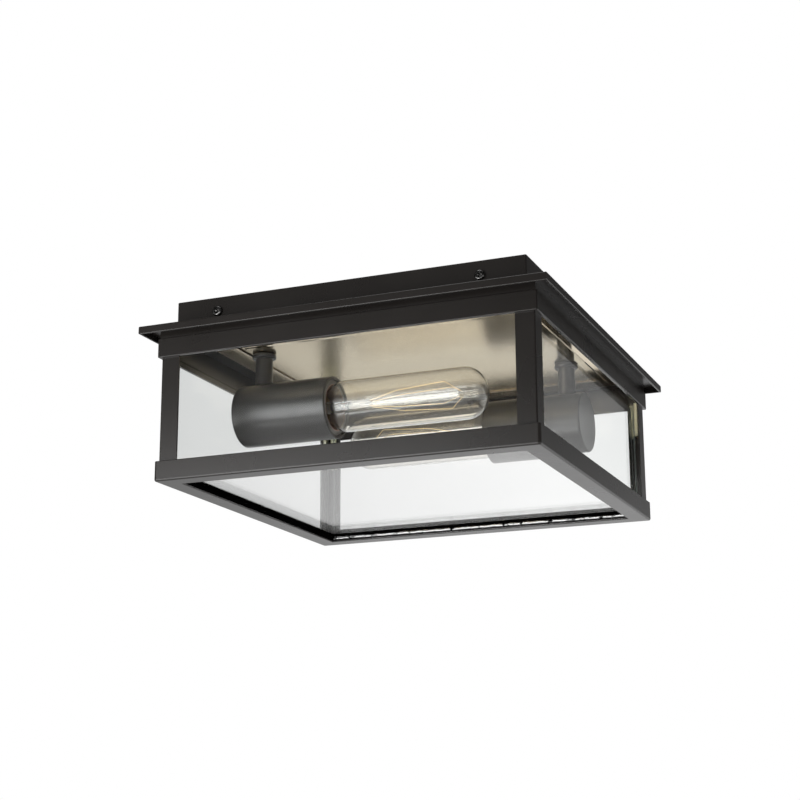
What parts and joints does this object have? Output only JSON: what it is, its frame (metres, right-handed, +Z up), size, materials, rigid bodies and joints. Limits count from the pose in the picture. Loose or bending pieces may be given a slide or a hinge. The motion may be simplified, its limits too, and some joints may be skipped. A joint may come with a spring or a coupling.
{
  "type": "flush mount ceiling light",
  "caption": "Square glazed ceiling lantern in dark bronze, with lamps lying on their sides under a brass plate and a cage that lowers from the ceiling pan.",
  "frame": {"origin": "centre of the fixture on the ceiling plane, at the mounting strap's top face", "axes": "+Z up into the ceiling, X along the front, +Y to the rear"},
  "size_m": [0.305, 0.305, 0.1334],
  "materials": {
    "bronze_paint": "satin",
    "brass_finish": "satin",
    "zinc_steel": "satin",
    "clip_steel": "satin",
    "ground_green": "satin",
    "bare_copper": "satin",
    "black_insulation": "satin",
    "white_insulation": "satin",
    "connector_plastic": "matte",
    "pane_glass": "polished",
    "lamp_glass": "polished",
    "gasket_rubber": "satin",
    "holder_phenolic": "satin",
    "contact_brass": "satin",
    "lamp_cap": "satin",
    "cap_glass": "gloss",
    "filament_wire": "satin"
  },
  "bodies": {
    "ceiling_mount": {"mounting_strap": "zinc_steel", "ground_screw": "ground_green", "ground_lead": "bare_copper", "pan_screws": "zinc_steel", "ceiling_pan": "brass_finish", "socket_plate": "brass_finish", "stem_lock_nuts": "zinc_steel", "bracket_screws": "zinc_steel", "black_leads": "black_insulation", "white_leads": "white_insulation", "wire_connectors": "connector_plastic", "front_nipple": "zinc_steel", "front_stem": "bronze_paint", "front_stem_collar": "bronze_paint", "front_socket_cup": "bronze_paint", "front_lampholder": "holder_phenolic", "front_screw_shell": "contact_brass", "front_centre_contact": "contact_brass", "front_socket_bracket": "zinc_steel", "rear_nipple": "zinc_steel", "rear_stem": "bronze_paint", "rear_stem_collar": "bronze_paint", "rear_socket_cup": "bronze_paint", "rear_lampholder": "holder_phenolic", "rear_screw_shell": "contact_brass", "rear_centre_contact": "contact_brass", "rear_socket_bracket": "zinc_steel"},
    "cage": {"canopy": "bronze_paint", "roof": "bronze_paint", "apron": "bronze_paint", "front_left_post": "bronze_paint", "front_right_post": "bronze_paint", "rear_left_post": "bronze_paint", "rear_right_post": "bronze_paint", "bottom_rail": "bronze_paint", "bottom_gasket": "gasket_rubber", "front_pane": "pane_glass", "rear_pane": "pane_glass", "left_pane": "pane_glass", "right_pane": "pane_glass", "bottom_pane": "pane_glass", "glass_clips": "clip_steel", "clamp_plates": "zinc_steel"},
    "front_lamp": {"front_lamp_glass": "lamp_glass", "front_lamp_base": "lamp_cap", "front_lamp_insulator": "cap_glass", "front_lamp_eyelet": "contact_brass", "front_lamp_mount": "lamp_glass", "front_lamp_filament": "filament_wire"},
    "rear_lamp": {"rear_lamp_glass": "lamp_glass", "rear_lamp_base": "lamp_cap", "rear_lamp_insulator": "cap_glass", "rear_lamp_eyelet": "contact_brass", "rear_lamp_mount": "lamp_glass", "rear_lamp_filament": "filament_wire"},
    "front_left_canopy_screw": {"front_left_canopy_screw": "bronze_paint"},
    "front_right_canopy_screw": {"front_right_canopy_screw": "bronze_paint"},
    "rear_left_canopy_screw": {"rear_left_canopy_screw": "bronze_paint"},
    "rear_right_canopy_screw": {"rear_right_canopy_screw": "bronze_paint"}
  },
  "joints": [
    {"name": "cage_drop", "type": "slide", "parent": "ceiling_mount", "child": "cage", "axis": [0, 0, -1], "range_m": [0, 0.115]},
    {"name": "front_lamp_turn", "type": "hinge", "parent": "ceiling_mount", "child": "front_lamp", "pos_m": [-0.0402, -0.0575, -0.07], "axis": [1, 0, 0], "range_deg": [0, 1800]},
    {"name": "rear_lamp_turn", "type": "hinge", "parent": "ceiling_mount", "child": "rear_lamp", "pos_m": [0.0402, 0.0575, -0.07], "axis": [-1, 0, 0], "range_deg": [0, 1800]},
    {"name": "front_left_screw_turn", "type": "hinge", "parent": "cage", "child": "front_left_canopy_screw", "pos_m": [-0.0996, -0.1325, -0.0108], "axis": [0, -1, 0], "range_deg": [0, 720]},
    {"name": "front_right_screw_turn", "type": "hinge", "parent": "cage", "child": "front_right_canopy_screw", "pos_m": [0.0996, -0.1325, -0.0108], "axis": [0, -1, 0], "range_deg": [0, 720]},
    {"name": "rear_left_screw_turn", "type": "hinge", "parent": "cage", "child": "rear_left_canopy_screw", "pos_m": [-0.0996, 0.1325, -0.0108], "axis": [0, 1, 0], "range_deg": [0, 720]},
    {"name": "rear_right_screw_turn", "type": "hinge", "parent": "cage", "child": "rear_right_canopy_screw", "pos_m": [0.0996, 0.1325, -0.0108], "axis": [0, 1, 0], "range_deg": [0, 720]}
  ]
}
